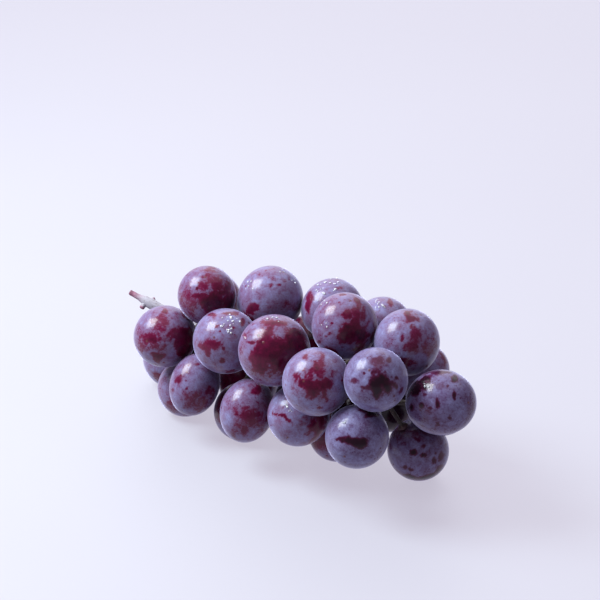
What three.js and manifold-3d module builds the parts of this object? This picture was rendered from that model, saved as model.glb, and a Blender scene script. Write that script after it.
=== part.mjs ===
// A bunch of large round grapes lying on its side on a flat surface, with its cut stem.
// Millimetres. +X runs along the bunch from its stem to its tip, +Y is across it, +Z is up.
// The bunch lies on z = 0, and the origin is on that surface under the middle of the bunch.
import * as THREE from "three";
import { mergeVertices } from "three/addons/utils/BufferGeometryUtils.js";
import Module from "manifold-3d";

// Driving dimensions of a berry
const STRETCH = 1.04; // length over width, from the stem end to the blossom end
const SEAT_RADIUS = 2.2; // the small flat at the stem end
const CLEARANCE = 0.3; // between one berry and the next, and between a berry and its stalk
const REST_DEPTH = 0.45; // how far a berry that lies on the surface is flattened by it
const BERRY_SIDES = 16;
const BERRY_RINGS = 9;

// Driving dimensions of the stem
const CUT_END = new THREE.Vector3(-86.7, -11.3, 42.3);
const RACHIS = [
  new THREE.Vector3(-59, 0, 31), // the crown, where the stem enters the bunch
  new THREE.Vector3(-22, 1, 32),
  new THREE.Vector3(14, -1, 35),
  new THREE.Vector3(50, -1, 37),
];
const RACHIS_RADIUS = [2.3, 1.9, 1.5, 1.1];
const STALK_LEAD = 8; // a stalk leaves the main stem this far nearer the crown than its berry
const STALK_RADIUS = 0.85;
const CAP_RADIUS = 2.2; // the swollen end of a stalk, which holds the berry
const CAP_LENGTH = 2.4;
const NECK_LENGTH = 4.5; // the last stretch of a stalk, in line with its berry
const STALK_SIDES = 6;
const STEM_SIDES = 8;

// The knuckle in the stem just inside its cut end, as radius at a distance from that end
const PEDUNCLE = [
  [0, 1.15],
  [5, 1.2],
  [7.5, 2],
  [10, 2.3],
  [16, 2.1],
];
const KNUCKLE_DISTANCE = 8;
const STUBS = [
  { reach: [1.6, 3.4, 0.3], radius: 1 },
  { reach: [0.2, -3, -2.2], radius: 1.1 },
];

// Where each berry sits: its middle along, across and up, its width, and, where they are its own,
// its length over its width and the way its blossom end points. The row "on" lies on the surface.
const BERRIES = {
  crown: [
    { at: [-74, 0.8, 12], width: 24.2, on: true },
    { at: [-65.7, 16.4, 35.9], width: 24.6 },
    { at: [-57, 19, 12], width: 25, on: true },
    { at: [-54.8, -21.8, 36.2], width: 25.2 },
    { at: [-51, -14, 12], width: 23, on: true },
  ],
  shoulder: [
    { at: [-42.5, -10.1, 54.3], width: 23.6 },
    { at: [-40, 24, 43], width: 24 },
    { at: [-35, 6.8, 12], width: 24.7, on: true },
    { at: [-35, -24.5, 22.4], width: 20, stretch: 1.28, points: [0.1, -0.5, -0.9] },
    { at: [-22, -20, 45], width: 26 },
    { at: [-22.2, 5.6, 54.4], width: 26.5 },
    { at: [-21, 26.4, 27.1], width: 25 },
    { at: [-20, -12.5, 12], width: 23, on: true },
  ],
  middle: [
    { at: [-8, 10.8, 12], width: 23.3, on: true },
    { at: [-3.6, -26.6, 23], width: 21.3, stretch: 1.2, points: [0.1, -0.5, -0.9] },
    { at: [1.2, 16.5, 54.1], width: 24.4 },
    { at: [4, 27, 30], width: 24.5 },
    { at: [5, -21, 50], width: 28, stretch: 1.02 },
    { at: [18, -21, 27], width: 24 },
    { at: [19, 1, 11], width: 22.5, on: true },
  ],
  waist: [
    { at: [25, 19, 53.8], width: 23 },
    { at: [25.9, -4.2, 62], width: 25.4 },
    { at: [27, 22, 20], width: 24 },
    { at: [36, -7, 25.6], width: 20.3 },
    { at: [31, -26, 48], width: 26, stretch: 1.02 },
    { at: [43, 22.2, 39.5], width: 22.3 },
  ],
  tip: [
    { at: [50, 4, 60.4], width: 25 },
    { at: [51, -24.3, 31.3], width: 23.9 },
    { at: [52, 12, 12], width: 24, on: true },
    { at: [55, -19.3, 55], width: 24, stretch: 1.02 },
    { at: [61, 14, 32], width: 20 },
    { at: [72.6, -2, 45.4], width: 24.6, stretch: 1.15 },
  ],
};

const wasm = await Module();
wasm.setup();

const berryMaterial = new THREE.MeshStandardMaterial({ color: 0x6f5f8c, roughness: 0.55, metalness: 0 });
const stemMaterial = new THREE.MeshStandardMaterial({ color: 0x8a7f66, roughness: 0.8, metalness: 0 });

// A closed three.js geometry as a solid, without the needle triangles at a lathe's two poles
function solidOf(geometry) {
  const bare = geometry.clone();
  bare.deleteAttribute("normal");
  bare.deleteAttribute("uv");
  const welded = mergeVertices(bare, 1e-4);
  const corners = welded.index.array;
  const triangles = [];
  for (let first = 0; first < corners.length; first += 3) {
    const [a, b, c] = corners.slice(first, first + 3);
    if (a !== b && b !== c && c !== a) {
      triangles.push(a, b, c);
    }
  }
  const mesh = new wasm.Mesh({
    numProp: 3,
    vertProperties: new Float32Array(welded.attributes.position.array),
    triVerts: new Uint32Array(triangles),
  });
  return new wasm.Manifold(mesh);
}

function geometryOf(solid) {
  const mesh = solid.getMesh();
  const geometry = new THREE.BufferGeometry();
  geometry.setAttribute("position", new THREE.BufferAttribute(mesh.vertProperties, 3));
  geometry.setIndex(new THREE.BufferAttribute(mesh.triVerts, 1));
  geometry.computeVertexNormals();
  return geometry;
}

// A round piece along a straight line: a profile of [distance from start, radius], closed at both ends
function turned(start, end, profile, sides) {
  const outline = [
    new THREE.Vector2(0, profile[0][0]),
    ...profile.map(([distance, radius]) => new THREE.Vector2(radius, distance)),
    new THREE.Vector2(0, profile[profile.length - 1][0]),
  ];
  const along = end.clone().sub(start).normalize();
  const turn = new THREE.Quaternion().setFromUnitVectors(new THREE.Vector3(0, 1, 0), along);
  const geometry = new THREE.LatheGeometry(outline, sides);
  geometry.applyQuaternion(turn);
  geometry.translate(start.x, start.y, start.z);
  return geometry;
}

// The point of the main stem at a distance along X, held between the crown and the tip
function rachisPoint(along) {
  const last = RACHIS.length - 1;
  const held = THREE.MathUtils.clamp(along, RACHIS[0].x, RACHIS[last].x);
  let span = 0;
  while (span < last - 1 && held > RACHIS[span + 1].x) {
    span += 1;
  }
  const share = (held - RACHIS[span].x) / (RACHIS[span + 1].x - RACHIS[span].x);
  return RACHIS[span].clone().lerp(RACHIS[span + 1], share);
}

// How far a berry's surface reaches from its middle towards a unit direction
function reach(berry, direction) {
  const along = direction.dot(berry.axis);
  const aside = Math.sqrt(Math.max(0, 1 - along * along));
  return Math.hypot(berry.length * along, berry.width * aside) / 2;
}

// A berry hangs from the main stem, so its own long axis runs on from its stalk
function aim(berry) {
  berry.root = rachisPoint(berry.middle.x - STALK_LEAD);
  berry.axis = berry.points
    ? new THREE.Vector3(...berry.points).normalize()
    : berry.middle.clone().sub(berry.root).normalize();
}

function layOnSurface(berry) {
  const down = new THREE.Vector3(0, 0, -1);
  const lowest = reach(berry, down);
  berry.middle.z = berry.on ? lowest - REST_DEPTH : Math.max(berry.middle.z, lowest + CLEARANCE);
}

// Berries that would press into each other are eased apart until the clearance is kept
function settle(berries) {
  const rounds = 400;
  const apart = new THREE.Vector3();
  for (let round = 0; round < rounds; round += 1) {
    for (let one = 0; one < berries.length; one += 1) {
      for (let other = one + 1; other < berries.length; other += 1) {
        const [first, second] = [berries[one], berries[other]];
        apart.subVectors(second.middle, first.middle);
        const distance = apart.length();
        apart.normalize();
        const overlap = reach(first, apart) + reach(second, apart) + CLEARANCE - distance;
        if (overlap > 0) {
          first.middle.addScaledVector(apart, -overlap / 2);
          second.middle.addScaledVector(apart, overlap / 2);
        }
      }
    }
    berries.forEach(layOnSurface);
    berries.forEach(aim);
  }
}

// An ellipsoid with a small flat at its stem end, its blossom end towards +Y
function berryGeometry(berry) {
  const seatAngle = Math.asin(SEAT_RADIUS / (berry.width / 2));
  const outline = [];
  for (let ring = 0; ring <= BERRY_RINGS; ring += 1) {
    const angle = THREE.MathUtils.lerp(Math.PI - seatAngle, 0, ring / BERRY_RINGS);
    const radius = ring === BERRY_RINGS ? 0 : (Math.sin(angle) * berry.width) / 2;
    outline.push(new THREE.Vector2(radius, (Math.cos(angle) * berry.length) / 2));
  }
  outline.unshift(new THREE.Vector2(0, outline[0].y));
  return new THREE.LatheGeometry(outline, BERRY_SIDES);
}

function makeBerry(berry) {
  const mesh = new THREE.Mesh(berryGeometry(berry), berryMaterial.clone());
  mesh.name = berry.name;
  mesh.position.copy(berry.middle);
  mesh.quaternion.setFromUnitVectors(new THREE.Vector3(0, 1, 0), berry.axis);
  if (berry.on) {
    mesh.updateMatrix();
    const thickness = 10;
    const surface = new THREE.BoxGeometry(2 * berry.width, 2 * berry.width, thickness);
    surface.translate(berry.middle.x, berry.middle.y, -thickness / 2);
    surface.applyMatrix4(mesh.matrix.clone().invert());
    mesh.geometry = geometryOf(solidOf(mesh.geometry).subtract(solidOf(surface)));
  }
  return mesh;
}

// The stalk of one berry, from inside the main stem to the swollen end that holds the berry.
// It bends just before a berry that doesn't point straight out from the main stem.
function stalkSolid(berry) {
  const foot = berry.middle.clone().addScaledVector(berry.axis, -berry.length / 2);
  const neck = foot.clone().addScaledVector(berry.axis, -NECK_LENGTH);
  const start = berry.points ? neck : berry.root;
  const length = start.distanceTo(foot);
  const profile = [
    [0, STALK_RADIUS],
    [length - CAP_LENGTH, STALK_RADIUS],
    [length - CAP_LENGTH / 2, CAP_RADIUS],
    [length - CLEARANCE / 2, CAP_RADIUS],
  ];
  const stalk = solidOf(turned(start, foot, profile, STALK_SIDES));
  if (!berry.points) {
    return stalk;
  }
  const rise = [[0, STALK_RADIUS], [berry.root.distanceTo(neck), STALK_RADIUS]];
  const bend = new THREE.SphereGeometry(STALK_RADIUS, STALK_SIDES, 4);
  bend.translate(neck.x, neck.y, neck.z);
  return stalk.add(solidOf(bend)).add(solidOf(turned(berry.root, neck, rise, STALK_SIDES)));
}

// The main stem, its knuckle and its cut end, with a stalk to every berry, all grown as one piece
function makeStem(berries) {
  const crown = RACHIS[0];
  const length = CUT_END.distanceTo(crown);
  const profile = [...PEDUNCLE, [length, RACHIS_RADIUS[0]]];
  let stem = solidOf(turned(CUT_END, crown, profile, STEM_SIDES));

  const knuckle = CUT_END.clone().lerp(crown, KNUCKLE_DISTANCE / length);
  for (const stub of STUBS) {
    const end = knuckle.clone().add(new THREE.Vector3(...stub.reach));
    const peg = [[0, stub.radius], [knuckle.distanceTo(end), stub.radius]];
    stem = stem.add(solidOf(turned(knuckle, end, peg, STALK_SIDES)));
  }

  RACHIS.forEach((point, index) => {
    const joint = new THREE.SphereGeometry(RACHIS_RADIUS[index], STEM_SIDES, 6);
    joint.translate(point.x, point.y, point.z);
    stem = stem.add(solidOf(joint));
    if (index > 0) {
      const before = RACHIS[index - 1];
      const taper = [[0, RACHIS_RADIUS[index - 1]], [before.distanceTo(point), RACHIS_RADIUS[index]]];
      stem = stem.add(solidOf(turned(before, point, taper, STEM_SIDES)));
    }
  });

  for (const berry of berries) {
    stem = stem.add(stalkSolid(berry));
  }
  const mesh = new THREE.Mesh(geometryOf(stem), stemMaterial);
  mesh.name = "stem";
  return mesh;
}

const berries = Object.values(BERRIES)
  .flat()
  .map((berry, index) => ({
    ...berry,
    name: `berry_${String(index + 1).padStart(2, "0")}`,
    middle: new THREE.Vector3(...berry.at),
    length: berry.width * (berry.stretch ?? STRETCH),
  }));

berries.forEach(aim);
settle(berries);

const bunch = new THREE.Group();
bunch.name = "bunch_of_grapes";
bunch.add(makeStem(berries));
for (const berry of berries) {
  bunch.add(makeBerry(berry));
}

// The origin goes under the middle of the whole bunch
bunch.updateMatrixWorld(true);
const middle = new THREE.Box3().setFromObject(bunch, true).getCenter(new THREE.Vector3());
bunch.position.set(-middle.x, -middle.y, 0);
bunch.updateMatrixWorld(true);

export default bunch;
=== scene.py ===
"""A bunch of large dark grapes lying on its side: waxy berries, their stem and beads of dew.

Everything is in metres in the row frame: +X runs from the stem to the tip, +Z is up, and the
bunch lies on z = 0. Each berry is fitted to its CAD solid and gets a fine skin of its own.
"""

import math

import bpy
import numpy as np
from mathutils import Matrix


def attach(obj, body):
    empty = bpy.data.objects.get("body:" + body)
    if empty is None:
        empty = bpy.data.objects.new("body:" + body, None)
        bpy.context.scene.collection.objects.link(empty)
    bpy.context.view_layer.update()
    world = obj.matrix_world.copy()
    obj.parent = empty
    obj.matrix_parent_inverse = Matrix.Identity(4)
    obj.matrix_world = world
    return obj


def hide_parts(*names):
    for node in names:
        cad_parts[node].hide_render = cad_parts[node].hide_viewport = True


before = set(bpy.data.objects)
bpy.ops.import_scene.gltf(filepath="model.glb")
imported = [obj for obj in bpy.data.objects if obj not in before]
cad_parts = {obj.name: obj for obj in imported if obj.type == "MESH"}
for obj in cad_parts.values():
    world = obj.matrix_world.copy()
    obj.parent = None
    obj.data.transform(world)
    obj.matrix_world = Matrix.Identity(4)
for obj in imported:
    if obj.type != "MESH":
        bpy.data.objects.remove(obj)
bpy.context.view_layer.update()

MM = 0.001

# The picture's camera
PICTURE_SIDE = 600
LENS = 85.0
SENSOR = 24.0
CAMERA_PLACE = np.array([506.35, -563.65, 409.9]) * MM
CAMERA_TURN = math.radians(42.0)
CAMERA_PITCH = math.radians(24.6)
CAMERA_ROLL = math.radians(1.33)

# The berries: the sides and rings of each skin, the seat of the stalk, the blossom scar with its
# nub, the slow swells of the whole, how ragged the edges of the marks are, and how a berry's
# solid is read
BERRIES = [f"berry_{number:02d}" for number in range(1, 33)]
SIDES = 128
RINGS = 88
POLE_CLOSENESS = 0.5
SEAT_DEPTH = 0.5 * MM
SEAT_RADIUS = 2.6 * MM
SCAR_DEPTH = 0.1 * MM
SCAR_RADIUS = 1.1 * MM
NUB_HEIGHT = 0.12 * MM
NUB_RADIUS = 0.4 * MM
LUMP = 0.006
SWELLS = 5
RAG = 0.55
RAG_SIZE = 9 * MM
RAG_OCTAVES = 4
FLAT_MARGIN = 0.2 * MM
FIT_ROUNDS = 4

# The stem: its line and radius inside the bunch, the cut end outside with its radius at some
# distances from the cut, the stalks with their caps, and the two stubs on the knuckle
STEM_LINE = np.array([[-58.6, -0.3, 31], [-21.6, 0.7, 32], [14.4, -1.3, 35], [50.4, -1.3, 37]]) * MM
STEM_RADIUS = np.array([2.3, 1.9, 1.5, 1.1]) * MM
CUT_END = np.array([-86.3, -11.6, 42.3]) * MM
CUT_PROFILE = np.array([[0, 1.1], [5, 1.2], [7.5, 2], [10, 2.25], [16, 2.05], [31, 2.3]]) * MM
CUT_EDGE = (0.82, 0.94, 0.99)
CUT_RED_REACH = 7.5 * MM
KNUCKLE_DISTANCE = 8 * MM
STALK_LEAD = 8 * MM
STALK_RADIUS = 0.85 * MM
CAP_RADIUS = 2.2 * MM
CAP_LENGTH = 2.4 * MM
NECK_LENGTH = 4.5 * MM
ROOT_FLARE = 0.5 * MM
ROOT_FLARE_REACH = 2.5 * MM
BEND_SHARE = 0.25
BENT_BERRIES = {"berry_09": (0.1, -0.5, -0.9), "berry_15": (0.1, -0.5, -0.9)}
STUBS = [((1.6, 3.4, 0.3), 1.0), ((0.2, -3, -2.2), 1.1)]

# How much thinner the wax is over a whole berry: 0 is thick and pale, 1 is bare skin
THIN_WAX = {
    "berry_04": 0.08,
    "berry_05": 0.06,
    "berry_06": 0.1,
    "berry_09": 0.04,
    "berry_15": 0.06,
    "berry_18": 0.1,
    "berry_22": 0.06,
    "berry_26": 0.08,
    "berry_28": 0.03,
    "berry_29": 0.1,
    # berry_32's share also paints the shade that its neighbours cast on it
    "berry_32": 0.12,
}

# How much darker the side toward the stem is of the berries in the middle of the bunch and behind
# it: partly bare skin, partly painted shade that darkens the gaps of the bunch; above 1 it is darker
# than bare skin
INNER_BARE_AND_SHADE = {
    "berry_08": 0.75,
    "berry_12": 0.6,
    "berry_13": 0.35,
    "berry_14": 0.75,
    "berry_17": 0.5,
    "berry_20": 0.6,
    "berry_23": 1.4,
    "berry_24": 1.3,
    "berry_31": 1.0,
}

# How far a berry has turned from wine red, 0, to blue-black, 1, where it isn't the usual share
USUAL_RIPENESS = 0.1
RIPENESS = {
    "berry_09": 0.3,
    "berry_15": 0.2,
    "berry_23": 1.0,
    "berry_24": 0.8,
    "berry_26": 0.3,
    "berry_27": 0.3,
    "berry_28": 0.9,
    "berry_29": 0.8,
    "berry_30": 0.8,
    "berry_31": 0.6,
    "berry_32": 0.9,
}

# Where the wax is rubbed off the berries that the picture shows, and a few marks of painted shade,
# noted at each: the mark's column and row in the picture, its half width and half height, its turn
# in degrees, and how bare it is, or for the shade marks how dark. At 1 the wax is gone, and above it
# the skin is darker.
RUBS = {
    "berry_04": [
        (160.5, 323.5, 6, 8, 0, 0.35),
        (164, 311.5, 3, 2.5, 0, 0.6),
        (152, 338, 9, 5, 0, 0.6),
        (180, 337.5, 15, 7.5, 0, 0.55),
        (186, 349, 10, 9, 0, 0.75),
        (157, 347.5, 8, 4.5, 0, 0.4),
        (158.5, 356.5, 6.5, 3.5, 0, 0.7),
        (144, 346, 6, 6, 0, 0.3),
    ],
    "berry_06": [
        (204, 283.5, 4, 6.5, 0, 0.35),
        (197, 288, 1.3, 1.3, 0, 0.8),
        (200, 296, 10, 3, 0, 0.6),
        (214, 282.5, 6, 7.5, 0, 0.4),
        (211.5, 268.5, 6.5, 3.5, 0, 0.3),
        (221, 301, 17, 14, 0, 0.75),
        (188, 306, 8, 14, 0, 0.25),
    ],
    "berry_10": [
        (213, 316.5, 4, 2.5, 0, 0.4),
        (230.5, 313.5, 6, 2.5, 0, 0.6),
        (210, 314.5, 3, 1.5, 0, 0.6),
        (218, 325, 3, 2, 0, 0.5),
        (242.5, 323, 2.5, 3, 0, 0.7),
        (209, 347, 9, 5, 0, 0.5),
        (223, 348.5, 1.5, 1.5, 0, 0.6),
        (223, 360.5, 2, 2.5, 0, 0.6),
        (233.5, 372, 6.5, 2, 0, 0.7),
    ],
    "berry_11": [
        (272, 272, 11, 3, 0, 0.2),
        (273, 279, 2.6, 2, 30, 0.3),
        (283, 280, 3, 2, -20, 0.3),
        (289, 277, 1.4, 2.4, 0, 0.25),
        (277.5, 285, 2, 1.4, 0, 0.3),
        (270.5, 286, 2.2, 3, 15, 0.35),
        (252.5, 310, 4.5, 6, 0, 0.6),
        (290, 306, 10, 6, 0, 0.25),
    ],
    "berry_18": [
        (275, 324, 8, 3, 0, 0.5),
        (258, 336, 1.5, 1.5, 0, 0.8),
        (250, 342.5, 4, 1.5, 0, 0.6),
        (283, 354, 27, 20, 0, 0.68),
        (298, 334, 7, 6, 0, 0.9),
        (305, 350, 8, 14, 0, 0.85),
        (262, 373, 2, 1.5, 0, 0.7),
        (274, 373, 2, 1.5, 0, 0.7),
    ],
    "berry_16": [
        (340, 288, 3, 2, 0, 0.4),
        (308, 305, 4, 12, 0, 0.6),
    ],
    "berry_22": [
        (347.5, 313, 4.5, 5, 0, 0.6),
        (356, 322, 4, 22, 0, 0.5),
        (358.5, 336, 16.5, 9, 0, 0.85),
        (362.5, 315, 4.5, 7, 0, 0.35),
        (332, 323, 1.2, 1.2, 0, 0.7),
        (330, 333, 1.2, 1.2, 0, 0.7),
        (327, 336, 1.2, 1.2, 0, 0.7),
        (319, 342, 1.4, 1.4, 0, 0.7),
        (343, 295, 3.5, 1, 0, 0.6),
    ],
    "berry_25": [
        (305.5, 357.5, 2.5, 2.5, 0, 0.5),
        (321.5, 366, 3.5, 9, 0, 0.45),
        (313.5, 382.5, 13.5, 12.5, 0, 0.8),
        (315, 362, 1.2, 1.2, 0, 0.7),
        (318, 374, 1.2, 1.2, 0, 0.7),
        (319, 408, 3, 1, 0, 0.6),
    ],
    "berry_21": [
        (390, 302, 2, 4, 0, 0.5),
    ],
    "berry_27": [
        (411.5, 317, 6.5, 5, 0, 0.7),
        (411, 327.5, 2, 2.5, 0, 0.6),
        (416.5, 342, 6.5, 11, 0, 0.55),
        (402.5, 337.5, 1.5, 4.5, 0, 0.6),
        (405.5, 347.5, 2.5, 3.5, 0, 0.6),
        (411, 339, 1.3, 1.3, 0, 0.8),
        (428, 345, 8, 15, 0, 0.3),
        (405, 365, 12, 5, 0, 0.5),
    ],
    "berry_30": [
        (364, 372, 1.3, 1.3, 0, 0.8),
        (377.5, 362, 8, 9, 0, 0.42),
        (379, 382, 11, 11, 0, 1.45),
        (397, 377, 1.3, 1.3, 0, 0.8),
        (388.5, 359, 2.5, 3, 0, 0.6),
        (402, 392, 2, 4, 0, 0.5),
        (353.5, 381.5, 4, 3.5, 0, 0.5),
    ],
    "berry_32": [
        # a dark band along the upper-left edge: painted shade from the berries beside it
        (412, 385, 18, 5.5, -52, 1.3),
        (440, 373, 7, 2, 0, 0.7),
        (453.5, 379, 2.5, 3, 0, 1.3),
        (454.5, 396, 1.5, 3, 0, 1.2),
        (447.5, 386.5, 1.5, 1.5, 0, 0.6),
        (425, 395, 1.5, 1.5, 0, 0.7),
        (422, 404.5, 2, 2.5, 0, 1.3),
        (411.5, 407.5, 1.5, 2.5, 0, 1.3),
        (430, 408, 1.5, 1.5, 0, 0.7),
        (437, 404, 1.3, 4, 0, 1.1),
        (450, 418, 1.5, 1.5, 0, 0.7),
        (438, 425, 1.5, 2, 0, 0.7),
    ],
    "berry_26": [
        (445, 359.5, 5, 9.5, 0, 0.35),
    ],
    "berry_09": [
        (178, 380, 3, 5, 0, 0.6),
        (187, 388, 1.3, 2, 0, 0.7),
        (197, 364, 3, 2, 0, 0.3),
        (210, 392, 7, 5.5, 0, 0.5),
        (199, 399, 19, 9, 0, 0.26),
    ],
    "berry_05": [
        (180, 407, 14, 8, 0, 0.35),
    ],
    "berry_15": [
        (256, 390, 4, 5, 0, 0.6),
        (236, 415, 1.5, 1.5, 0, 0.7),
        (250, 423, 20, 12, 0, 0.36),
    ],
    "berry_19": [
        (282.5, 417, 9.5, 1.5, 38, 0.7),
        (318, 420, 14, 18, 0, 0.55),
    ],
    "berry_28": [
        (355, 442, 10, 4.2, 0, 1.5),
        (342, 439.5, 5, 1.8, 8, 1.0),
        # a dark wedge at the top: painted shade under the berry above
        (371, 413, 7, 3.5, 0, 1.2),
        (366, 455, 15, 9, 0, 0.12),
    ],
    "berry_29": [
        (413.5, 452, 2.8, 2.8, 0, 1.4),
        (422.5, 455.5, 2.4, 2, 0, 1.2),
        (416, 439.5, 4, 1.5, 20, 0.6),
        (423, 446, 1.8, 1.8, 0, 0.6),
        (434, 460.5, 1.8, 2.2, 0, 0.7),
        (441, 456, 2, 4, 20, 0.6),
        (405, 467.5, 2.5, 1.5, 20, 0.7),
        (411, 470, 2.2, 1.2, 20, 0.7),
        # these four marks darken the underside where it meets the floor: painted shade
        (395, 468.5, 6, 2.2, 42, 1.1),
        (410, 478, 8, 2.4, 18, 1.2),
        (426, 477.5, 8, 2.4, -18, 1.2),
        (438, 470, 5, 2, -48, 0.7),
        # a broad faint darkening of the top: painted shade from the berries above
        (410, 436, 16, 6, 0, 0.2),
    ],
}

# Beads of dew: the column and row of each place where the picture shows some
BEADS = {
    "berry_10": [(224, 324), (233, 321), (231, 317), (227, 317), (237, 319), (229, 330), (231, 333)],
    "berry_11": [(248, 282), (253, 289), (284, 272), (295, 280)],
    "berry_16": [(318, 285), (321, 284), (330, 283), (335, 284), (335, 289), (318, 291), (323, 293)],
    "berry_22": [(327, 303), (327, 327)],
    "berry_21": [(376, 301), (378, 304), (379, 307), (383, 306)],
    "berry_18": [(270, 316), (277, 318), (246, 338)],
    "berry_19": [(287, 406), (289, 411)],
    # On berry_28 and berry_32 the beads stand for glints: a painted highlight
    "berry_28": [(345.5, 421)],
    "berry_32": [(428.5, 387)],
}
BEADS_TOGETHER = 3
BEADS_APART = 3.0
BEAD_RADIUS = 0.45 * MM
BEAD_SIZES = (0.45, 1.2)
BEAD_HEIGHT = 0.65
BEAD_LIFT = 0.1
BEAD_SIDES = 12
BEAD_RINGS = 7

# Chance rubs on the sides that the picture doesn't show, and rubs where berries touch
CHANCE_RUBS = 9
CHANCE_REACH = (0.08, 0.5)
CHANCE_STRENGTH = (0.3, 0.75)
CONTACT_GAP = 1.5 * MM
CONTACT_REACH = 0.2
CONTACT_STRENGTH = 0.7

# The two brown ends of a berry
BLOSSOM_SCAR_RADIUS = 0.5 * MM
STALK_SCAR_RADIUS = 2.5 * MM
STALK_SCAR_STRENGTH = 0.7

# The lights: name, direction from the bunch, distance and side in metres, radiance and colour
LIGHTS = [
    ("key_light", (-0.544, -0.382, 0.74), 0.68, 0.33, 28.5, (0.87, 0.97, 1.0)),
    ("overhead_light", (-0.25, 0.3, 1.0), 1.3, 2.0, 1.3, (0.95, 0.97, 1.0)),
    ("back_light", (-0.6, 0.7, 0.42), 1.4, 1.4, 1.0, (0.97, 0.95, 1.0)),
]
ROOM_LIGHT = 0.34

# Half the floor's side in metres
FLOOR_HALF = 6.0

dice = np.random.default_rng(20)


def linear(red, green, blue):
    """A screen colour of 0 to 255 as linear light: ((c + 0.055) / 1.055) to the power 2.4."""
    screen = np.array([red, green, blue]) / 255
    light = np.where(screen <= 0.04045, screen / 12.92, ((screen + 0.055) / 1.055) ** 2.4)
    return (*light.tolist(), 1.0)


def unit(vectors):
    """Vectors shortened or stretched to length 1."""
    return vectors / np.linalg.norm(vectors, axis=-1, keepdims=True)


def sides_of(direction):
    """Two unit vectors square to a direction and to each other."""
    spare = np.eye(3)[np.argmin(np.abs(direction))]
    first = unit(np.cross(direction, spare))
    return first, np.cross(direction, first)


def smooth_step(low, high, values):
    """0 below low, 1 above high and 3t² - 2t³ between them."""
    share = np.clip((values - low) / (high - low), 0, 1)
    return share * share * (3 - 2 * share)


def camera_axes():
    """The picture's rightward, upward and forward directions in the row frame.

    A level camera looks along (0, cos pitch, -sin pitch). Its right and up are turned by the
    roll about that line, and all three are then turned about Z.
    """
    cos_pitch, sin_pitch = math.cos(CAMERA_PITCH), math.sin(CAMERA_PITCH)
    cos_roll, sin_roll = math.cos(CAMERA_ROLL), math.sin(CAMERA_ROLL)
    cos_turn, sin_turn = math.cos(CAMERA_TURN), math.sin(CAMERA_TURN)
    level_right = np.array([1.0, 0.0, 0.0])
    level_up = np.array([0.0, sin_pitch, cos_pitch])
    forward = np.array([0.0, cos_pitch, -sin_pitch])
    right = cos_roll * level_right + sin_roll * level_up
    up = cos_roll * level_up - sin_roll * level_right
    turn = np.array([[cos_turn, -sin_turn, 0], [sin_turn, cos_turn, 0], [0, 0, 1]])
    return turn @ right, turn @ up, turn @ forward


RIGHTWARD, UPWARD, FORWARD = camera_axes()
PIXELS_AT_UNIT_DEPTH = PICTURE_SIDE * LENS / SENSOR


def picture_place(points):
    """The picture's column and row of points: its middle ± focal length × offset / depth."""
    away = points - CAMERA_PLACE
    depth = away @ FORWARD
    column = PICTURE_SIDE / 2 + PIXELS_AT_UNIT_DEPTH * (away @ RIGHTWARD) / depth
    row = PICTURE_SIDE / 2 - PIXELS_AT_UNIT_DEPTH * (away @ UPWARD) / depth
    return column, row


def sight_line(column, row):
    """The unit direction from the camera through a column and row of the picture."""
    across = (column - PICTURE_SIDE / 2) / PIXELS_AT_UNIT_DEPTH
    above = (PICTURE_SIDE / 2 - row) / PIXELS_AT_UNIT_DEPTH
    return unit(FORWARD + across * RIGHTWARD + above * UPWARD)


def make_piece(name, points, triangles, material, attributes):
    """A mesh object at the origin from points, triangles and attributes, a value at each point."""
    mesh = bpy.data.meshes.new(name)
    mesh.vertices.add(len(points))
    mesh.vertices.foreach_set("co", points.astype(np.float32).ravel())
    mesh.loops.add(triangles.size)
    mesh.loops.foreach_set("vertex_index", triangles.astype(np.int32).ravel())
    mesh.polygons.add(len(triangles))
    mesh.polygons.foreach_set("loop_start", np.arange(0, triangles.size, 3, dtype=np.int32))
    mesh.polygons.foreach_set("use_smooth", np.ones(len(triangles), bool))
    mesh.update(calc_edges=True)
    for label, values in attributes.items():
        kind, field = ("FLOAT", "value") if values.ndim == 1 else ("FLOAT_VECTOR", "vector")
        layer = mesh.attributes.new(label, kind, "POINT")
        layer.data.foreach_set(field, values.astype(np.float32).ravel())
    mesh.materials.append(material)
    piece = bpy.data.objects.new(name, mesh)
    bpy.context.scene.collection.objects.link(piece)
    return piece


def closed_grid(rings, sides):
    """Triangles of a closed surface: rings of points between a first and a last single point.

    Point 0 is the first pole, ring r and side s is point 1 + r × sides + s, and the last point
    closes the far end.
    """
    ring, side = np.meshgrid(np.arange(rings - 1), np.arange(sides), indexing="ij")
    beside = (side + 1) % sides
    here = 1 + ring * sides + side
    aside = 1 + ring * sides + beside
    walls = np.concatenate(
        [
            np.stack([here, aside, aside + sides], -1).reshape(-1, 3),
            np.stack([here, aside + sides, here + sides], -1).reshape(-1, 3),
        ]
    )
    around = np.arange(sides)
    onward = (around + 1) % sides
    last = 1 + rings * sides
    last_ring = 1 + (rings - 1) * sides
    first_fan = np.stack([np.zeros(sides, int), 1 + onward, 1 + around], -1)
    last_fan = np.stack([np.full(sides, last), last_ring + around, last_ring + onward], -1)
    return np.concatenate([walls, first_fan, last_fan])


# The berries


def stem_point(along):
    """The point of the main stem's line at a distance along X, held between its two ends."""
    held = np.clip(along, STEM_LINE[0, 0], STEM_LINE[-1, 0])
    return np.array([np.interp(held, STEM_LINE[:, 0], STEM_LINE[:, axis]) for axis in range(3)])


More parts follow.
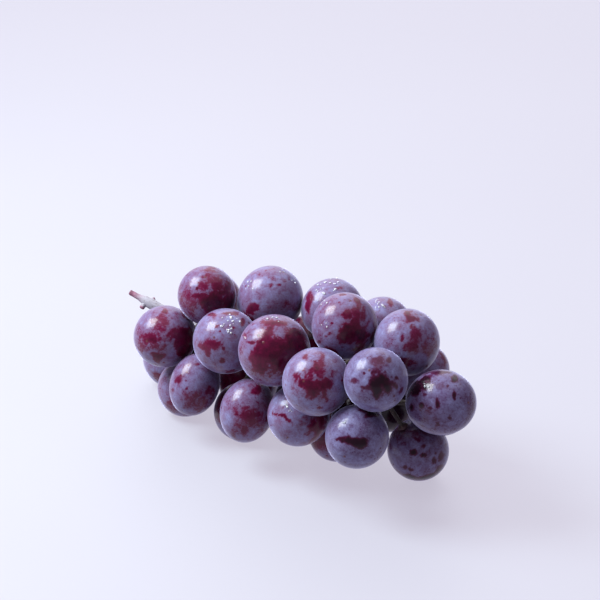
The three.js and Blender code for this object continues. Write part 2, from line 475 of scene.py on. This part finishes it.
def read_berry(name):
    """A berry's middle, long axis, half width and half length, from the corners of its CAD solid.

    The corners lie on an ellipsoid round the axis, a |p|² + b (p · axis)² + c · p = 1, which is
    linear in a, b and c, so least squares finds them. The axis runs on from the berry's stalk, so
    it is found anew from each middle. Corners on the flat that the berry rests on are left out.
    """
    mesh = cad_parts[name].data
    corners = np.empty(3 * len(mesh.vertices))
    mesh.vertices.foreach_get("co", corners)
    corners = corners.reshape(-1, 3)
    corners = corners[corners[:, 2] > FLAT_MARGIN]
    middle = (corners.min(0) + corners.max(0)) / 2
    for _ in range(FIT_ROUNDS):
        root = stem_point(middle[0] - STALK_LEAD)
        axis = unit(np.array(BENT_BERRIES.get(name, middle - root)))
        offset = (corners - middle) / MM
        terms = np.column_stack([(offset**2).sum(1), (offset @ axis) ** 2, offset])
        found = np.linalg.lstsq(terms, np.ones(len(offset)), rcond=None)[0]
        squash = found[0] * np.eye(3) + found[1] * np.outer(axis, axis)
        shift = -0.5 * np.linalg.solve(squash, found[2:])
        level = 1 + shift @ squash @ shift
        middle = middle + shift * MM
    half_width = math.sqrt(level / found[0]) * MM
    half_length = math.sqrt(level / (found[0] + found[1])) * MM
    return {
        "middle": middle,
        "axis": axis,
        "root": root,
        "half_width": half_width,
        "half_length": half_length,
    }


def waves(directions, count, amplitude):
    """Slow swells over a sphere of directions: the sum of a few cosines along random lines."""
    lines = unit(dice.normal(size=(count, 3)))
    pitch = dice.uniform(1.5, 4.0, count)
    phase = dice.uniform(0, 2 * math.pi, count)
    return amplitude * np.cos(directions @ lines.T * pitch + phase).mean(1)


def clouds(points, size, octaves):
    """A cloudy value of about -1 to 1: cosines along random lines, each octave half as long."""
    total = np.zeros(len(points))
    for octave in range(octaves):
        lines = unit(dice.normal(size=(6, 3))) * 2 * math.pi / (size * 0.5**octave)
        phase = dice.uniform(0, 2 * math.pi, 6)
        total += 1.6 * 0.62**octave * np.cos(points @ lines.T + phase).mean(1)
    return total


def berry_points(form):
    """Points of a berry's skin from its stem end to its blossom end.

    Ring angle t runs from 0 to pi, closer together at the poles; the radius is half width × sin t
    and the height is -half length × cos t. A bell curve sinks the seat of the stalk, another the
    blossom scar, and a narrow one raises the nub in the scar.
    """
    share = np.linspace(0, 1, RINGS + 2)
    angle = math.pi * share - POLE_CLOSENESS / 2 * np.sin(2 * math.pi * share)
    around = np.linspace(0, 2 * math.pi, SIDES, endpoint=False)
    radius = form["half_width"] * np.sin(angle)
    height = -form["half_length"] * np.cos(angle)
    stem_side = share < 0.5
    height = height + np.where(stem_side, SEAT_DEPTH * np.exp(-((radius / SEAT_RADIUS) ** 2)), 0)
    nub = NUB_HEIGHT * np.exp(-((radius / NUB_RADIUS) ** 2))
    scar = nub - SCAR_DEPTH * np.exp(-((radius / SCAR_RADIUS) ** 4))
    height = height + np.where(stem_side, 0, scar)
    first, second = sides_of(form["axis"])
    spokes = np.cos(around)[:, None] * first + np.sin(around)[:, None] * second
    rings = radius[1:-1, None, None] * spokes + height[1:-1, None, None] * form["axis"]
    poles = height[[0, -1], None] * form["axis"]
    offsets = np.concatenate([poles[:1], rings.reshape(-1, 3), poles[1:]])
    offsets = offsets * (1 + waves(unit(offsets), SWELLS, LUMP))[:, None]
    points = form["middle"] + offsets
    points[:, 2] = np.maximum(points[:, 2], 0)
    return points


def mark_value(across, above, half_width, half_height, turn, strength):
    """A soft-edged oval mark: strength × exp(-0.7 q²), q being the oval's squared distance."""
    angle = math.radians(turn)
    along = across * math.cos(angle) + above * math.sin(angle)
    aside = above * math.cos(angle) - across * math.sin(angle)
    squared = (along / half_width) ** 2 + (aside / half_height) ** 2
    return strength * np.exp(-0.7 * squared**2)


def cap_value(directions, towards, reach, strength, rag):
    """The same soft mark as a ragged round cap, strength × exp(-0.7 (angle / reach + rag)⁴)."""
    turned = np.arccos(np.clip(directions @ towards, -1, 1))
    return strength * np.exp(-0.7 * (turned / reach + rag).clip(0) ** 4)


def bareness_and_shade(name, form, points, forms):
    """How bare the skin is at each point, painted shade included.

    The largest of the picture's marks, a few of which paint shade, the chance rubs where the
    picture shows nothing and the rubs of the neighbours, to which the berry's thin wax and its
    inner side, partly bare and partly painted shade, are added.
    """
    directions = unit(points - form["middle"])
    toward_camera = unit(CAMERA_PLACE - form["middle"])
    shown = smooth_step(0.0, 0.3, directions @ toward_camera)
    column, row = picture_place(points)
    rag = RAG * clouds(points, RAG_SIZE, RAG_OCTAVES)
    other_rag = RAG * clouds(points, RAG_SIZE, RAG_OCTAVES)
    seen = np.zeros(len(points))
    for mark in RUBS.get(name, []):
        across = column - mark[0] + rag * mark[2]
        above = row - mark[1] + other_rag * mark[3]
        seen = np.maximum(seen, mark_value(across, above, *mark[2:]))
    chance = np.zeros(len(points))
    for _ in range(CHANCE_RUBS):
        towards = unit(dice.normal(size=3))
        reach = dice.uniform(*CHANCE_REACH)
        strength = dice.uniform(*CHANCE_STRENGTH)
        chance = np.maximum(chance, cap_value(directions, towards, reach, strength, 0.7 * rag))
    hidden = 1 - shown if name in RUBS else np.ones(len(points))
    bare = np.maximum(seen * shown, chance * hidden)
    for other, neighbour in forms.items():
        apart = neighbour["middle"] - form["middle"]
        distance = np.linalg.norm(apart)
        touching = form["half_width"] + neighbour["half_width"] + CONTACT_GAP
        if other != name and distance < touching:
            towards = apart / distance
            contact = cap_value(directions, towards, CONTACT_REACH, CONTACT_STRENGTH, 0.5 * rag)
            bare = np.maximum(bare, contact)
    # The inner side: partly bare skin, partly painted shade in the bunch's gaps
    inner = smooth_step(-0.5, 0.1, -directions @ form["axis"])
    return bare + THIN_WAX.get(name, 0.0) + INNER_BARE_AND_SHADE.get(name, 0.0) * inner


def scar_colour(form, points):
    """How brown the skin is at its two ends: 1 in the blossom scar, less round the stalk."""
    offsets = points - form["middle"]
    height = offsets @ form["axis"]
    aside = np.linalg.norm(offsets - height[:, None] * form["axis"], axis=1)
    blossom = np.exp(-((aside / BLOSSOM_SCAR_RADIUS) ** 4))
    seat = STALK_SCAR_STRENGTH * np.exp(-((aside / STALK_SCAR_RADIUS) ** 4))
    return np.where(height > 0, blossom, seat)


# Materials

# Colours from thick wax through bare skin to the darkest skin, by their places from 0 to 1
WINE_RED = [
    (0.0, linear(134, 132, 172)),
    (0.07, linear(118, 113, 151)),
    (0.41, linear(94, 11, 48)),
    (0.52, linear(84, 5, 40)),
    (0.64, linear(70, 3, 33)),
    (0.8, linear(48, 4, 27)),
    (1.0, linear(30, 4, 19)),
]
BLUE_BLACK = [
    (0.0, linear(130, 131, 171)),
    (0.07, linear(114, 110, 148)),
    (0.28, linear(84, 68, 102)),
    (0.41, linear(66, 30, 58)),
    (0.55, linear(56, 12, 40)),
    (0.8, linear(42, 4, 25)),
    (1.0, linear(30, 4, 19)),
]
SCAR_BROWN = linear(88, 46, 50)
GREY_BARK = [
    (0.0, linear(108, 96, 104)),
    (0.4, linear(140, 132, 142)),
    (0.7, linear(164, 160, 172)),
    (1.0, linear(184, 182, 196)),
]
# The stem and stalks inside the bunch, near black: painted shade
INNER_BARK_AND_SHADE = [(0.1, linear(24, 8, 11)), (0.5, linear(34, 16, 16)), (0.9, linear(48, 31, 24))]
CUT_WOOD = [(0.3, linear(80, 28, 50)), (0.55, linear(136, 80, 104)), (0.75, linear(164, 120, 142))]
PORE_BROWN = linear(96, 70, 58)
FLOOR_TONES = [(0.2, linear(88, 92, 97)), (0.8, linear(93, 97, 102))]
ROOM_TINT = linear(242, 236, 252)

# How bare the skin is everywhere, how much each pattern adds to it, and its share of the ramps
USUAL_WEAR = 0.3
CLOUD_WEAR = 0.75
MOTTLE_WEAR = 0.95
GRAIN_WEAR = 0.45
SPOT_WEAR = 0.3
RAMP_SHARE = 0.6


def math_node(tree, operation, *values, clamp=False):
    """Two or three values, each a socket or a number, put together by one sum."""
    node = tree.nodes.new("ShaderNodeMath")
    node.operation = operation
    node.use_clamp = clamp
    for place, value in enumerate(values):
        if isinstance(value, (int, float)):
            node.inputs[place].default_value = value
        else:
            tree.links.new(value, node.inputs[place])
    return node.outputs[0]


def mixed(tree, share, first, second):
    """The first colour blended into the second by a share.

    The share is a socket. Each colour is a socket or a plain colour.
    """
    node = tree.nodes.new("ShaderNodeMix")
    node.data_type = "RGBA"
    tree.links.new(share, node.inputs["Factor"])
    for label, colour in (("A", first), ("B", second)):
        if isinstance(colour, tuple):
            node.inputs[label].default_value = colour
        else:
            tree.links.new(colour, node.inputs[label])
    return node.outputs["Result"]


def noise(tree, place, scale, detail, roughness, distortion=0.0):
    """A cloudy pattern of about 0 to 1 over the given coordinates."""
    node = tree.nodes.new("ShaderNodeTexNoise")
    node.inputs["Scale"].default_value = scale
    node.inputs["Detail"].default_value = detail
    node.inputs["Roughness"].default_value = roughness
    node.inputs["Distortion"].default_value = distortion
    tree.links.new(place, node.inputs["Vector"])
    return node.outputs["Fac"]


def cell_distance(tree, place, scale):
    """The distance to the nearest of many scattered points, in a Voronoi pattern."""
    cells = tree.nodes.new("ShaderNodeTexVoronoi")
    cells.feature = "F1"
    cells.inputs["Scale"].default_value = scale
    tree.links.new(place, cells.inputs["Vector"])
    return cells.outputs["Distance"]


def dots(tree, place, scale, gate_scale):
    """Small round spots: 1 near a Voronoi cell's middle, and only where a slow noise is high."""
    spot = spread(tree, cell_distance(tree, place, scale), (0.1, 0.24), (1.0, 0.0))
    slow = noise(tree, place, scale=gate_scale, detail=1.0, roughness=0.5)
    gate = spread(tree, slow, (0.5, 0.6), (0.0, 1.0))
    return math_node(tree, "MULTIPLY", spot, gate)


def colour_ramp(tree, value, stops):
    """Colours at places from 0 to 1, blended between."""
    node = tree.nodes.new("ShaderNodeValToRGB")
    ramp = node.color_ramp
    while len(ramp.elements) < len(stops):
        ramp.elements.new(0.5)
    for element, (place, colour) in zip(ramp.elements, stops):
        element.position = place
        element.color = colour
    tree.links.new(value, node.inputs["Fac"])
    return node.outputs["Color"]


def spread(tree, value, old_range, new_range):
    """A value carried from one range to another, and held at its ends."""
    node = tree.nodes.new("ShaderNodeMapRange")
    node.clamp = True
    node.inputs["From Min"].default_value = old_range[0]
    node.inputs["From Max"].default_value = old_range[1]
    node.inputs["To Min"].default_value = new_range[0]
    node.inputs["To Max"].default_value = new_range[1]
    tree.links.new(value, node.inputs["Value"])
    return node.outputs["Result"]


def attribute(tree, name, output="Fac"):
    """A value that the mesh carries at each point."""
    node = tree.nodes.new("ShaderNodeAttribute")
    node.attribute_name = name
    return node.outputs[output]


def object_place(tree):
    """The coordinates of the piece itself."""
    return tree.nodes.new("ShaderNodeTexCoord").outputs["Object"]


def raise_surface(tree, shader, height, strength, distance):
    """Fine relief on a shader from a height pattern."""
    bump = tree.nodes.new("ShaderNodeBump")
    bump.inputs["Strength"].default_value = strength
    bump.inputs["Distance"].default_value = distance
    tree.links.new(height, bump.inputs["Height"])
    tree.links.new(bump.outputs["Normal"], shader.inputs["Normal"])


def new_material(name, settings):
    """A material, its node tree and its shader, with the settings made on the shader's inputs."""
    material = bpy.data.materials.new(name)
    material.use_nodes = True
    tree = material.node_tree
    shader = tree.nodes["Principled BSDF"]
    for label, value in settings.items():
        shader.inputs[label].default_value = value
    return material, tree, shader


def waxy_skin():
    """Dark maroon skin under a lilac bloom, which is patchy, mottled, spotted and rubbed off.

    How bare the skin is: the mesh's own value, which also holds painted shade, + the usual wear
    + a share of each noise counted from its middle + a share of the spots. It picks the colour and
    the gloss.
    """
    settings = {
        "IOR": 1.45,
        "Specular IOR Level": 0.17,
        "Specular Tint": linear(244, 238, 255),
        "Coat Weight": 0.22,
        "Coat Roughness": 0.13,
        "Sheen Weight": 0.9,
        "Sheen Roughness": 0.26,
        "Sheen Tint": linear(208, 206, 252),
    }
    material, tree, shader = new_material("waxy_grape_skin", settings)
    place = object_place(tree)
    cloudy = noise(tree, place, scale=110.0, detail=4.0, roughness=0.6, distortion=0.4)
    mottle = noise(tree, place, scale=430.0, detail=6.0, roughness=0.66, distortion=0.6)
    grain = noise(tree, place, scale=1700.0, detail=3.0, roughness=0.6)
    coarse = dots(tree, place, scale=330.0, gate_scale=140.0)
    fine = dots(tree, place, scale=800.0, gate_scale=190.0)
    spots = math_node(tree, "ADD", coarse, fine)
    # the mesh's bare value carries both bare skin and painted shade
    total = math_node(tree, "ADD", attribute(tree, "bare"), USUAL_WEAR)
    for pattern, wear in ((cloudy, CLOUD_WEAR), (mottle, MOTTLE_WEAR), (grain, GRAIN_WEAR)):
        centred = math_node(tree, "SUBTRACT", pattern, 0.5)
        total = math_node(tree, "ADD", total, math_node(tree, "MULTIPLY", centred, wear))
    total = math_node(tree, "ADD", total, math_node(tree, "MULTIPLY", spots, SPOT_WEAR))
    depth = math_node(tree, "MULTIPLY", total, RAMP_SHARE, clamp=True)
    red = colour_ramp(tree, depth, WINE_RED)
    black = colour_ramp(tree, depth, BLUE_BLACK)
    skin = mixed(tree, attribute(tree, "ripeness"), red, black)
    skin = mixed(tree, attribute(tree, "scar"), skin, SCAR_BROWN)
    tree.links.new(skin, shader.inputs["Base Color"])
    gloss = spread(tree, total, (0.1, 0.75), (0.38, 0.22))
    tree.links.new(gloss, shader.inputs["Roughness"])
    relief = math_node(tree, "ADD", mottle, grain)
    raise_surface(tree, shader, relief, strength=0.35, distance=0.12 * MM)
    return material


def bark():
    """Dry grey stem, streaked along its length, with red cut ends, and near black inside the bunch
    as painted shade.
    """
    material, tree, shader = new_material("stem_bark", {})
    place = object_place(tree)
    along = attribute(tree, "grain", "Vector")
    streaks = noise(tree, along, scale=1.0, detail=4.0, roughness=0.6)
    blotches = noise(tree, place, scale=260.0, detail=4.0, roughness=0.6)
    tone = math_node(tree, "MULTIPLY_ADD", streaks, 0.6, 0.2)
    grey = colour_ramp(tree, tone, GREY_BARK)
    # Near black for the stem and stalks inside the bunch: painted shade
    dark = colour_ramp(tree, tone, INNER_BARK_AND_SHADE)
    wood = mixed(tree, attribute(tree, "shoot_and_shade"), grey, dark)
    pores = spread(tree, cell_distance(tree, place, scale=900.0), (0.1, 0.3), (0.6, 0.0))
    wood = mixed(tree, pores, wood, PORE_BROWN)
    wood = mixed(tree, attribute(tree, "cut"), wood, colour_ramp(tree, blotches, CUT_WOOD))
    tree.links.new(wood, shader.inputs["Base Color"])
    gloss = spread(tree, blotches, (0.3, 0.7), (0.55, 0.8))
    tree.links.new(gloss, shader.inputs["Roughness"])
    relief = math_node(tree, "ADD", streaks, blotches)
    raise_surface(tree, shader, relief, strength=0.6, distance=0.2 * MM)
    return material


def water():
    """Dew, partly clear and partly white: the white share paints the sparkle of light on the beads.
    """
    settings = {
        # the near-white colour on the untransmitted share paints a sparkle on the beads
        "Base Color": linear(245, 246, 255),
        "Roughness": 0.03,
        "IOR": 1.33,
        "Transmission Weight": 0.55,
        "Coat Weight": 1.0,
        "Coat Roughness": 0.08,
    }
    return new_material("dew_painted_sparkle", settings)[0]


def glowing_floor():
    """A plain pale matt surface, faintly cloudy, glowing with light of its own: painted light that
    lightens the shadows on it and lights the berries from below.
    """
    settings = {
        "Roughness": 0.6,
        "Emission Color": linear(228, 222, 240),
        # the glow is painted light that lifts the floor's shadows
        "Emission Strength": 0.67,
    }
    material, tree, shader = new_material("glowing_floor", settings)
    cloudy = noise(tree, object_place(tree), scale=3.0, detail=2.0, roughness=0.5)
    tone = colour_ramp(tree, cloudy, FLOOR_TONES)
    tree.links.new(tone, shader.inputs["Base Color"])
    return material


# The stem


def tube(line, radius, cut=None, wobble=0.05, sides=14, shoot_and_shade=0.0):
    """A closed round piece along a line: at each point a ring of its radius, lumpy by wobble.

    The ring lies in the plane square to the line there. cut is how red each ring is, and
    shoot_and_shade is 1 inside the bunch, where the stem and stalks are painted dark as shade.
    """
    along = unit(np.gradient(line, axis=0))
    chord = unit(line[-1] - line[0])
    spare = np.eye(3)[np.argmin(np.abs(chord))]
    first = unit(np.cross(along, spare))
    second = np.cross(along, first)
    around = np.linspace(0, 2 * math.pi, sides, endpoint=False)
    lumps = 1 + wobble * dice.normal(size=(len(line), sides)).clip(-1.5, 1.5)
    reach = (radius[:, None] * lumps)[..., None]
    cosine, sine = np.cos(around)[:, None], np.sin(around)[:, None]
    spokes = cosine * first[:, None] + sine * second[:, None]
    rings = line[:, None] + reach * spokes
    points = np.concatenate([line[:1], rings.reshape(-1, 3), line[-1:]])
    shade = np.zeros(len(line)) if cut is None else cut
    shade = np.concatenate([shade[:1], np.repeat(shade, sides), shade[-1:]])
    run = np.concatenate([[0], np.cumsum(np.linalg.norm(np.diff(line, axis=0), axis=1))])
    turns = np.tile(around, len(line))
    grain = np.stack([2.2 * np.cos(turns), 2.2 * np.sin(turns), 90 * np.repeat(run, sides)], -1)
    grain = np.concatenate([grain[:1], grain, grain[-1:]])
    carried = {"cut": shade, "grain": grain, "shoot_and_shade": np.full(len(points), shoot_and_shade)}
    return points, closed_grid(len(line), sides), carried


def join(parts):
    """Several surfaces as one mesh's points, triangles and attributes."""
    starts = np.cumsum([0] + [len(points) for points, _, _ in parts[:-1]])
    points = np.concatenate([part[0] for part in parts])
    triangles = np.concatenate([part[1] + start for part, start in zip(parts, starts)])
    attributes = {label: np.concatenate([part[2][label] for part in parts]) for label in parts[0][2]}
    return points, triangles, attributes


def straight(start, end, shares):
    """Points at shares of the way from start to end."""
    return start + np.asarray(shares)[:, None] * (end - start)


def stalk(form, bent):
    """A berry's stalk, from inside the main stem to the swollen cap that holds the berry.

    A bent one turns at a neck a little short of the berry. The cap's end is rounded off, and the
    root is wider by ROOT_FLARE × e to the power of -distance / ROOT_FLARE_REACH.
    """
    foot = form["middle"] - form["axis"] * form["half_length"]
    if bent:
        neck = foot - form["axis"] * NECK_LENGTH
        first_run = straight(form["root"], neck, np.linspace(0, 1 - BEND_SHARE, 6))
        last_run = straight(neck, foot, np.linspace(BEND_SHARE, 1, 12))
        line = np.concatenate([first_run, last_run])
    else:
        shares = np.concatenate([np.linspace(0, 0.85, 9), np.linspace(0.88, 1, 10)])
        line = straight(form["root"], foot, shares)
    left = np.linalg.norm(line - foot, axis=1)
    swelling = smooth_step(0, 1, 1 - left / CAP_LENGTH)
    rounding = np.sqrt(np.clip(1 - (1 - np.clip(left / (0.5 * MM), 0, 1)) ** 2, 0.36, 1))
    radius = (STALK_RADIUS + (CAP_RADIUS - STALK_RADIUS) * swelling) * rounding
    from_root = np.linalg.norm(line - form["root"], axis=1)
    radius = radius + ROOT_FLARE * np.exp(-from_root / ROOT_FLARE_REACH)
    return tube(line, radius, cut=0.25 * swelling, wobble=0.06, sides=12, shoot_and_shade=1.0)


def stem_parts(forms):
    """The main stem with its knuckle and cut end, the two stubs there and all the stalks."""
    length = np.linalg.norm(CUT_END - STEM_LINE[0])
    distance = np.concatenate([[0, 0.15 * MM, 0.4 * MM], np.linspace(0.8 * MM, length, 40)])
    line = CUT_END + distance[:, None] / length * (STEM_LINE[0] - CUT_END)
    radius = np.interp(distance, CUT_PROFILE[:, 0], CUT_PROFILE[:, 1])
    radius[:3] *= CUT_EDGE
    kernel = np.array([1, 2, 3, 2, 1]) / 9
    radius[5:-2] = np.convolve(radius, kernel, mode="same")[5:-2]
    red = smooth_step(CUT_RED_REACH, 0.5 * MM, distance)
    main = tube(line, radius, cut=red, wobble=0.035, sides=28)
    inner_x = np.linspace(STEM_LINE[0, 0], STEM_LINE[-1, 0], 90)
    inner = np.array([stem_point(x) for x in inner_x])
    inner_radius = np.interp(inner_x, STEM_LINE[:, 0], STEM_RADIUS)
    parts = [main, tube(inner, inner_radius, wobble=0.05, sides=20, shoot_and_shade=1.0)]
    knuckle = CUT_END + KNUCKLE_DISTANCE / length * (STEM_LINE[0] - CUT_END)
    for reach, thickness in STUBS:
        shares = np.linspace(0, 1, 12)
        line = straight(knuckle, knuckle + np.array(reach) * MM, shares)
        radius = thickness * MM * np.where(shares < 0.97, 1, 0.8)
        parts.append(tube(line, radius, cut=smooth_step(0.7, 0.95, shares), wobble=0.05, sides=16))
    for name, form in forms.items():
        parts.append(stalk(form, name in BENT_BERRIES))
    return join(parts)


def bead_places(places):
    """The listed places of the picture, each with chance places near it that make it a group."""
    spots = np.repeat(np.array(places, float), BEADS_TOGETHER, axis=0)
    strays = dice.normal(size=spots.shape) * BEADS_APART
    strays[::BEADS_TOGETHER] = 0
    return spots + strays


def dew_parts(forms):
    """Small flattened beads of water where the picture shows them.

    A sight line meets the berry's ellipsoid where |p - middle| in its own stretched measure is 1,
    a quadratic in the distance along the line; the nearer root is the place of the bead. A line
    that passes the berry by gives none.
    """
    parts = []
    angle = np.linspace(0, math.pi, BEAD_RINGS + 2)
    around = np.linspace(0, 2 * math.pi, BEAD_SIDES, endpoint=False)
    for name, places in BEADS.items():
        form = forms[name]
        lengthwise = form["half_length"] ** -2 - form["half_width"] ** -2
        squash = np.eye(3) / form["half_width"] ** 2
        squash = squash + lengthwise * np.outer(form["axis"], form["axis"])
        away = CAMERA_PLACE - form["middle"]
        for column, row in bead_places(places):
            line = sight_line(column, row)
            steep = line @ squash @ line
            half = line @ squash @ away
            room = half**2 - steep * (away @ squash @ away - 1)
            if room <= 0:
                continue
            spot = CAMERA_PLACE + line * (-half - math.sqrt(room)) / steep
            outward = unit(squash @ (spot - form["middle"]))
            first, second = sides_of(outward)
            size = BEAD_RADIUS * dice.uniform(*BEAD_SIZES)
            spokes = np.cos(around)[:, None] * first + np.sin(around)[:, None] * second
            wide = size * np.sin(angle)[1:-1, None, None] * spokes
            tall = -BEAD_HEIGHT * size * np.cos(angle)[:, None] * outward
            rings = (wide + tall[1:-1, None]).reshape(-1, 3)
            bead = spot + BEAD_LIFT * size * outward + np.concatenate([tall[:1], rings, tall[-1:]])
            parts.append((bead, closed_grid(BEAD_RINGS, BEAD_SIDES), {}))
    return join(parts)


# The pieces

forms = {name: read_berry(name) for name in BERRIES}
skin = waxy_skin()
berry_mesh = closed_grid(RINGS, SIDES)
for name, form in forms.items():
    points = berry_points(form)
    carried = {
        "bare": bareness_and_shade(name, form, points, forms),
        "scar": scar_colour(form, points),
        "ripeness": np.full(len(points), RIPENESS.get(name, USUAL_RIPENESS)),
    }
    berry = make_piece(name.replace("berry", "grape"), points, berry_mesh, skin, carried)
    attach(berry, "root")
    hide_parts(name)

stem_points, stem_mesh, stem_values = stem_parts(forms)
stem = make_piece("grape_stem", stem_points, stem_mesh, bark(), stem_values)
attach(stem, "root")
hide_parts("stem")

dew_points, dew_mesh, _ = dew_parts(forms)
dew = make_piece("dew_drops", dew_points, dew_mesh, water(), {})
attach(dew, "root")

# The floor, the light and the camera

corners = np.array([[-1, -1, 0], [1, -1, 0], [1, 1, 0], [-1, 1, 0]]) * FLOOR_HALF
floor = make_piece("floor", corners, np.array([[0, 1, 2], [0, 2, 3]]), glowing_floor(), {})


def pose_matrix(right, up, back, place):
    """A placing matrix whose columns are an object's own X, Y and Z axes and its place."""
    matrix = np.eye(4)
    matrix[:3, 0], matrix[:3, 1], matrix[:3, 2], matrix[:3, 3] = right, up, back, place
    return Matrix(matrix.tolist())


def softbox(name, direction, distance, side, radiance, colour):
    """A square light that faces the bunch from a direction, of power radiance × pi × area."""
    light = bpy.data.lights.new(name, "AREA")
    light.shape = "SQUARE"
    light.size = side
    light.energy = radiance * math.pi * side**2
    light.color = colour
    holder = bpy.data.objects.new(name, light)
    bpy.context.scene.collection.objects.link(holder)
    towards = unit(np.array(direction))
    right, up = sides_of(towards)
    holder.matrix_world = pose_matrix(right, up, towards, towards * distance)


for light in LIGHTS:
    softbox(*light)

scene = bpy.context.scene
scene.view_settings.view_transform = "Standard"
world = bpy.data.worlds.new("pale_room")
world.use_nodes = True
backdrop = world.node_tree.nodes["Background"]
backdrop.inputs["Color"].default_value = ROOM_TINT
backdrop.inputs["Strength"].default_value = ROOM_LIGHT
scene.world = world

camera_lens = bpy.data.cameras.new("camera")
camera_lens.sensor_fit = "HORIZONTAL"
camera_lens.sensor_width = SENSOR
camera_lens.lens = LENS
camera_lens.clip_start = 0.01
camera = bpy.data.objects.new("camera", camera_lens)
scene.collection.objects.link(camera)
camera.matrix_world = pose_matrix(RIGHTWARD, UPWARD, -FORWARD, CAMERA_PLACE)
scene.camera = camera
